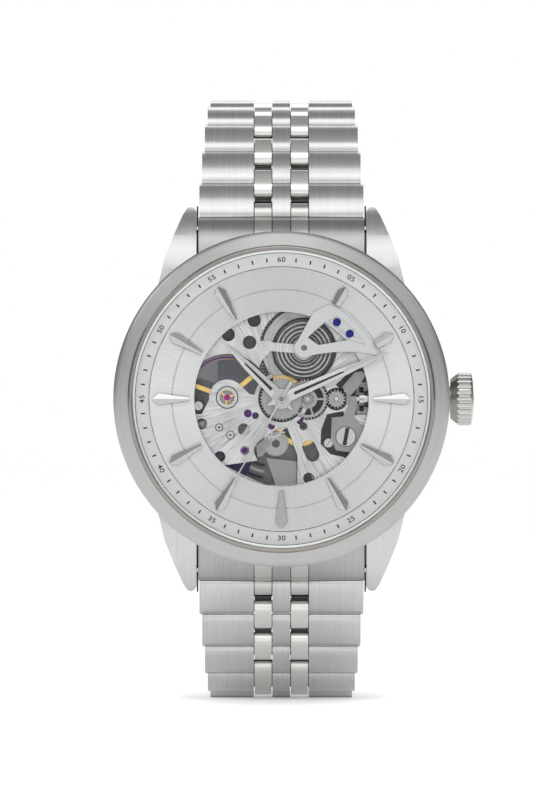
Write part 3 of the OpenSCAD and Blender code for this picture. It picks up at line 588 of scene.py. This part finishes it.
def hoop(name, centre, outer, inner, z0, z1, look, body, slot, teeth=0, height=0.0, steps=72):
    """A flat ring; with teeth, its outer edge steps in and out by a height."""
    steps = 4 * teeth or steps
    verts, faces = [], []
    for k in range(steps):
        a = 2 * math.pi * (k + (0.25 if k % 2 else 0)) / steps
        tip = outer - (height if teeth and k % 4 > 1 else 0)
        for r, z in ((tip, z1), (tip, z0), (inner, z0), (inner, z1)):
            verts.append(watch(centre[0] + r * math.cos(a), centre[1] + r * math.sin(a), z))
        p, q = 4 * k, 4 * ((k + 1) % steps)
        faces += [(p + i, p + (i + 1) % 4, q + (i + 1) % 4, q + i) for i in range(4)]
    return piece(name, verts, faces, MATERIALS[look], body)


def minute_ticks():
    """Printed ticks between the numbers, sunk into the track."""
    verts, faces = [], []
    for minute in range(60):
        if minute % 5:
            u, v = ray(6 * minute)
            first = len(verts)
            for r in TRACK:
                for side in (-TICK_WIDTH / 2, TICK_WIDTH / 2):
                    p = u * r + v * side
                    verts += [watch(p.x, p.y, track_z(r) + rise) for rise in (-TICK_DEPTH, PRINT)]
            quads = [(1, 5, 7, 3), (0, 2, 6, 4), (0, 4, 5, 1), (2, 3, 7, 6), (0, 1, 3, 2), (4, 6, 7, 5)]
            faces += [tuple(first + i for i in q) for q in quads]
    piece("minute_ticks", verts, faces, MATERIALS["ink"], "case")


def numeral(minute):
    """A printed number of the minute track, its top outward in the upper half and inward below."""
    name = f"numeral_{minute:02d}"
    curve = bpy.data.curves.new(name, "FONT")
    curve.body = f"{minute if minute else 60:02d}"
    curve.align_x, curve.align_y = "CENTER", "CENTER"
    curve.size = NUMERAL_HEIGHT * MM
    curve.space_character = 1.05
    curve.offset = NUMERAL_BOLD * MM
    curve.extrude = NUMERAL_HALF_DEPTH * MM
    text = bpy.data.objects.new(name, curve)
    bpy.context.scene.collection.objects.link(text)
    bpy.context.view_layer.update()
    mesh = bpy.data.meshes.new_from_object(text)
    bpy.data.objects.remove(text)
    a = math.radians(90 - 6 * minute)
    radius = sum(TRACK) / 2
    upright = math.radians(90 if 15 < minute < 45 else -90)
    turn = Matrix.Rotation(math.radians(90), 4, "X") @ Matrix.Rotation(a + upright, 4, "Z")
    centre = watch(radius * math.cos(a), radius * math.sin(a), track_z(radius) - NUMERAL_HALF_DEPTH + PRINT)
    wide = Matrix.Diagonal((NUMERAL_WIDEN, 1, 1, 1))
    mesh.transform(Matrix.Translation(centre) @ turn @ wide)
    for v in mesh.vertices:
        v.co.y -= (math.hypot(v.co.x, v.co.z) - radius * MM) * TRACK_SLOPE
    obj = bpy.data.objects.new(name, mesh)
    bpy.context.scene.collection.objects.link(obj)
    mesh.materials.clear()
    mesh.materials.append(MATERIALS["ink"])
    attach(obj, "case")


minute_ticks()
for m in range(0, 60, 5):
    numeral(m)
# Dark ring at the foot of the track's inner edge: a printed line and a painted shadow
hoop("track_edge_line_and_shadow", AXIS, 16.62, 16.53, 8.58, 8.63, "deep", "case", "dial_silver")

# Body of the movement's still pieces and of the second hand's, each paired with a slot's name, and heights
# of thin pieces that lie in the main plate's face
PLATE = ("case", "plate_rhodium")
SECOND_HAND = ("second_hand", "polished_steel")
RIM = (6.28, 6.32)
PLATE_SHADOW_Z = (6.29, 6.325)
RIM_WIDTH = 0.09
INLAY_WIDTH = 0.19
INLAY_HEIGHT = 0.06


def inlay(name, angle, near, far, z, body):
    """Dark filling of a hand's slot, half as wide at its far end."""
    u, v = ray(angle)
    sides = ((near, -INLAY_WIDTH), (far, -INLAY_WIDTH * 0.5), (far, INLAY_WIDTH * 0.5), (near, INLAY_WIDTH))
    corners = [u * r + v * half for r, half in sides]
    slab(name, [(p.x, p.y) for p in corners], z, z + INLAY_HEIGHT, "ink", body, "polished_steel")


def arc_band(name, centre, r0, r1, a0, a1, z0, z1, look):
    """A curved bar of the case's lower works, between two angles."""
    steps = 20
    angles = [math.radians(a0 + (a1 - a0) * k / steps) for k in range(steps + 1)]
    outer = [(centre[0] + r1 * math.cos(a), centre[1] + r1 * math.sin(a)) for a in angles]
    inner = [(centre[0] + r0 * math.cos(a), centre[1] + r0 * math.sin(a)) for a in reversed(angles)]
    slab(name, outer + inner, z0, z1, look, *PLATE)


inlay("hour_inlay", 314.3, 1.72, 6.35, 8.87, "hour_hand")
inlay("minute_inlay", 66.3, 1.77, 8.45, 9.22, "minute_hand")
hoop("second_cap", AXIS, 0.3, 0.17, 9.79, 9.83, "deep", *SECOND_HAND, steps=32)
hoop("arbor_cap", AXIS, 0.15, 0.02, 9.76, 9.78, "lever", *SECOND_HAND, steps=24)
hoop("gilt_rim", AXIS, 3.02, 2.5, 6.34, 6.42, "gilt", "center_wheel", "gilt_brass", teeth=64, height=0.26)
hoop("shock_rim", BALANCE, 1.42, 1.34, *RIM, "ink", *PLATE)

# Rims round the plate's jewels and screws, the first three blued: x, y, radius
HOLE_RIMS = [
    (-4.2, -1.8, 0.5), (-4.6, -6.45, 0.56), (-7.7, -7.2, 0.68), (-10, -3.1, 0.68),
    (-3.4, 9.85, 0.82), (-6.65, 8.05, 0.82), (-4, 7.1, 0.84), (3.4, -9.9, 0.68),
    (*UPPER_JEWEL, 0.5), (*LOWER_JEWEL, 0.56), (*RIGHT_JEWEL, 0.5), (-10.1, -0.8, 0.6),
]
for k, (x, y, r) in enumerate(HOLE_RIMS):
    hoop(f"hole_rim_{k}", (x, y), r, r - RIM_WIDTH, *RIM, "blued" if k < 3 else "ink", *PLATE, steps=48)

# Painted shade: a dark ring in the groove at the edge of the barrel's cover
hoop("barrel_groove_shade", BARREL, 3.97, 3.76, 5.93, 5.97, "ink", "barrel", "wheel_steel")
hoop("barrel_teeth", BARREL, 5.62, 5.22, 5.1, 5.15, "ink", "barrel", "wheel_steel", teeth=75, height=0.24)

# Painted shadows: dark sheets on the plate's face round the motion work and the setting lever
hoop("minute_wheel_shadow", (3.3, 0), 2.62, 0.3, *PLATE_SHADOW_Z, "ink", *PLATE)
hoop("setting_wheel_shadow", (6.875, 0), 1.42, 0.3, *PLATE_SHADOW_Z, "ink", *PLATE, steps=48)
slab("lever_shadow", [(5.7, -1.9), (4.95, -3.9), (4.9, -5.6), (6.1, -6.9), (8.3, -7.4), (9.1, -6.9),
                      (8.6, -5.0), (8.2, -2.4), (7.7, -1.5)], *PLATE_SHADOW_Z, "ink", *PLATE)
slab("yoke_shadow", [(7.7, 0.8), (8.25, 2.05), (10.7, 2.05), (10.3, 3.9), (8.8, 3.7), (6.8, 1.8)],
     *PLATE_SHADOW_Z, "ink", *PLATE)

# Cover arc over the gilt rim, then the keyless works: yoke, and slot, rim and pivot of the setting lever
arc_band("hour_cover", AXIS, 2.3, 3.42, 112, 395, 6.43, 6.47, "plate")
# Painted shadow: a dark arc under the hour wheel's teeth
arc_band("hour_wheel_shadow", AXIS, 2.4, 2.92, 112, 395, 6.475, 6.49, "ink")
slab("yoke", [(7.6, 1.5), (8.15, 0.9), (8.1, -0.6), (8.5, -0.9), (8.65, 0.45), (9.6, 1.5), (10.55, 3.0),
              (10.1, 3.5), (9.2, 3.35)], 6.36, 6.46, "lever", *PLATE)
slab("lever_slot", [(7.65, -5.75), (8.15, -5.8), (8.5, -3.6), (8.0, -3.6)], 7.3, 7.31, "ink", *PLATE)
hoop("lever_screw_rim", (8.05, -4.7), 1.28, 1.16, 6.97, 7.0, "ink", *PLATE, steps=48)
hoop("lever_pivot", (5.75, -5.6), 0.46, 0.3, 6.33, 6.4, "wheel", *PLATE, steps=32)

# Still works seen through the openings below the centre
slab("train_cock", [(-1.9, -7.4), (-0.7, -10.9), (1.9, -10.9), (1.9, -7.8)], 3.6, 4.9, "lever", *PLATE)
slab("date_plate", [(-7.2, -8.0), (-6.4, -9.6), (-4.6, -10.2), (-3.7, -7.9)], 3.6, 4.6, "plum", *PLATE)
hoop("ratchet_disc", (-0.7, -5.6), 1.65, 0.5, 4.15, 4.35, "wheel", *PLATE, teeth=30, height=0.2)
slab("ratchet_arm", [(-3.2, -5.8), (-1.9, -4.8), (-1.3, -5.4), (-2.3, -7.1), (-3.0, -7.3)], 4.36, 4.41,
     "lever", *PLATE)
for k in range(4):
    inner = 4.0 + 0.75 * k
    arc_band(f"works_arc_{k}", (-1.5, -4.2), inner, inner + 0.35, 235, 262, 3.6, 4.3 - 0.12 * k,
             "lever" if k % 2 else "ink")

# Painted shade: dark plates in the gaps between the lugs and the end links
GAP_SHADE_X = (10.43, 10.62)
GAP_SHADE_Y = (17.6, 24.2)
for side, across in ((-1, "left"), (1, "right")):
    for end, level in ((-1, "low"), (1, "high")):
        outline = [(side * x, end * y) for x, y in rectangle(GAP_SHADE_X, GAP_SHADE_Y)][::side * end]
        slab(f"lug_gap_shade_{across}_{level}", outline, 1.6, 2.9, "ink", "case", "case_steel")


# ---------- link tubes ----------
# Each tube's ends across the link, and its sides along the row and out from the hinge line
COLUMN = (1.14, 3.46)
TUBE_ALONG = (1.25, 2.7)
TUBE_OUT = (-1.4, -0.9)


def face_outward(mesh):
    """Turns every face of a closed mesh outward."""
    work = bmesh.new()
    work.from_mesh(mesh)
    bmesh.ops.recalc_face_normals(work, faces=work.faces)
    work.to_mesh(mesh)
    work.free()


def link_tubes(side, hinges):
    """Tubes that carry each row's intermediate links, seen in the gaps between these, in a dark grey that
    paints the shade of the gaps.
    """
    corners = rectangle(TUBE_ALONG, TUBE_OUT)
    faces = [(0, 1, 2, 3), (4, 7, 6, 5)] + [(i, i + 4, (i + 1) % 4 + 4, (i + 1) % 4) for i in range(4)]
    for (link, here), (_, onward) in zip(hinges, hinges[1:]):
        run = (onward - here).normalized()
        out = Vector((0, -run.z, run.y)) * (1 if side == "upper" else -1)
        for part, sign in (("left", -1), ("right", 1)):
            ends = [Vector((sign * x, 0, 0)) for x in COLUMN]
            verts = [here + (run * s + out * n + end) * MM for end in ends for s, n in corners]
            obj = piece(f"tube_{link}_{part}", verts, faces, MATERIALS["deep"], link)
            face_outward(obj.data)


for side in ("upper", "lower"):
    rows = [(j["child"], Vector(j["pos_m"])) for j in frame["joints"]
            if j["name"].startswith(f"{side}_hinge_") and j["child"].startswith(f"{side}_link_")]
    link_tubes(side, rows)


# ---------- floor, light and camera ----------
# Lens and sensor in millimetres, the height that the picture spans at the bezel, and the point aimed at
LENS = 500
SENSOR = 36
VIEW_HEIGHT = 99.75
AIM = (-1.87, -0.12)
FLOOR_HALF = 6
# The floor's own light, a painted glow, grows from none to FLOOR_GLOW between these distances from the
# watch's middle, in metres, with each axis weighted by GLOW_SQUEEZE; its lack near the watch paints a soft
# shadow
FLOOR_GLOW = 0.85
GLOW_FROM = 0.026
GLOW_TO = 0.062
GLOW_SQUEEZE = (3, 1, 1)


def floor():
    """The white ground under the lowest point; it glows, and its glow fades out near the watch to paint a
    small shadow.
    """
    lowest = CAD_BOX[0].z
    span = (-FLOOR_HALF, FLOOR_HALF)
    mesh = bpy.data.meshes.new("floor")
    mesh.from_pydata([(x, y, lowest) for x, y in rectangle(span, span)], [], [(0, 1, 2, 3)])
    obj = bpy.data.objects.new("floor", mesh)
    bpy.context.scene.collection.objects.link(obj)
    s = Shader("floor_white")
    dust = s.noise(s.place(), scale=40, detail=3)
    tone = s.mix(dust, (0.8, 0.8, 0.8, 1), (0.84, 0.84, 0.84, 1))
    centred = s.node("ShaderNodeMapping")
    centred.inputs["Location"].default_value = (0, -0.5 * (CAD_BOX[0].y + CAD_BOX[1].y), 0)
    centred.inputs["Scale"].default_value = GLOW_SQUEEZE
    s.wire(s.place(), centred.inputs[0])
    away = s.node("ShaderNodeVectorMath", operation="LENGTH")
    s.wire(centred.outputs[0], away.inputs[0])
    glow = s.spread(away.outputs["Value"], 0.0, FLOOR_GLOW, GLOW_FROM, GLOW_TO)
    s.surface(Base_Color=tone, Roughness=0.6, Emission_Color=tone, Emission_Strength=glow)
    mesh.materials.append(s.mat)


def soft_light(name, place, target, size, radiance):
    """A rectangular soft box at a place, facing a target, in metres, of a given brightness."""
    data = bpy.data.lights.new(name, "AREA")
    data.shape = "RECTANGLE"
    data.size, data.size_y = size
    data.energy = radiance * math.pi * size[0] * size[1]
    obj = bpy.data.objects.new(name, data)
    obj.location = place
    obj.rotation_euler = (Vector(target) - Vector(place)).to_track_quat("-Z", "Y").to_euler()
    bpy.context.scene.collection.objects.link(obj)


def ramp(tree, source, stops):
    """A grey ramp over 0 to 1, from (position, level) pairs."""
    node = tree.nodes.new("ShaderNodeValToRGB")
    elements = node.color_ramp.elements
    while len(elements) < len(stops):
        elements.new(0.5)
    for e, (place, level) in zip(elements, stops):
        e.position = place
        e.color = (level, level, level, 1)
    tree.links.new(source, node.inputs[0])
    return node.outputs[0]


# Brightness of the tent by how far a direction turns from the back (0) to the front (1), by how far it
# turns to a side (0 to 1), and by how far it points down (0) or up (1)
TENT_BY_FRONT = [(0.0, 0.5), (0.3, 0.28), (0.45, 0.3), (0.62, 0.42), (0.76, 0.6), (0.86, 1.0), (0.93, 1.8),
                 (0.98, 1.5), (1.0, 0.95)]
TENT_BY_SIDE = [(0.0, 1.05), (0.12, 1.0), (0.3, 0.36), (0.75, 0.42), (1.0, 0.8)]
TENT_BY_HEIGHT = [(0.0, 0.7), (0.45, 0.9), (0.7, 1.0), (1.0, 1.35)]


def studio():
    """A pale tent round the watch, dimmer at the sides; seen directly, it is plain white."""
    world = bpy.data.worlds.new("studio")
    bpy.context.scene.world = world
    world.use_nodes = True
    tree = world.node_tree
    tree.nodes.clear()
    new, link = tree.nodes.new, tree.links.new
    out, back = new("ShaderNodeOutputWorld"), new("ShaderNodeBackground")
    coords, parts = new("ShaderNodeTexCoord"), new("ShaderNodeSeparateXYZ")
    link(coords.outputs["Generated"], parts.inputs[0])

    def span(axis, low, high):
        """Where a direction's axis lies between two values, from 0 to 1."""
        n = new("ShaderNodeMapRange")
        n.inputs[1].default_value, n.inputs[2].default_value = low, high
        link(parts.outputs[axis], n.inputs[0])
        return n.outputs[0]

    def times(a, b):
        n = new("ShaderNodeMath")
        n.operation = "MULTIPLY"
        link(a, n.inputs[0])
        link(b, n.inputs[1])
        return n.outputs[0]

    side = new("ShaderNodeMath")
    side.operation = "ABSOLUTE"
    link(parts.outputs["X"], side.inputs[0])
    level = times(ramp(tree, span("Y", 1, -1), TENT_BY_FRONT), ramp(tree, side.outputs[0], TENT_BY_SIDE))
    level = times(level, ramp(tree, span("Z", -1, 1), TENT_BY_HEIGHT))
    mix, path = new("ShaderNodeMix"), new("ShaderNodeLightPath")
    link(path.outputs["Is Camera Ray"], mix.inputs[0])
    link(level, mix.inputs[2])
    mix.inputs[3].default_value = 1
    back.inputs["Color"].default_value = (1, 1, 1, 1)
    link(mix.outputs[0], back.inputs["Strength"])
    link(back.outputs[0], out.inputs[0])
    soft_light("top_box", (0, -0.45, 0.6), (0, 0, 0), (0.6, 0.35), 0.8)
    for name, x, radiance in (("left_box", -0.6, 2.2), ("right_box", 0.6, 1.2)):
        soft_light(name, (x, -0.3, 0.5), (0, 0, 0), (0.4, 0.4), radiance)
    soft_light("back_box", (0.1, 0.7, 0.5), (0, 0.02, 0), (0.6, 0.4), 1.2)


def camera():
    """A long lens straight in front, at the distance where VIEW_HEIGHT fills the picture."""
    data = bpy.data.cameras.new("camera")
    data.lens, data.sensor_width = LENS, SENSOR
    data.clip_start, data.clip_end = 0.05, 50
    obj = bpy.data.objects.new("camera", data)
    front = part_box("bezel")[0].y
    obj.location = (AIM[0] * MM, front - VIEW_HEIGHT * MM * LENS / SENSOR, AIM[1] * MM)
    obj.rotation_euler = (math.radians(90), 0, 0)
    bpy.context.scene.collection.objects.link(obj)
    bpy.context.scene.camera = obj
    bpy.context.scene.view_settings.view_transform = "Standard"


floor()
studio()
camera()
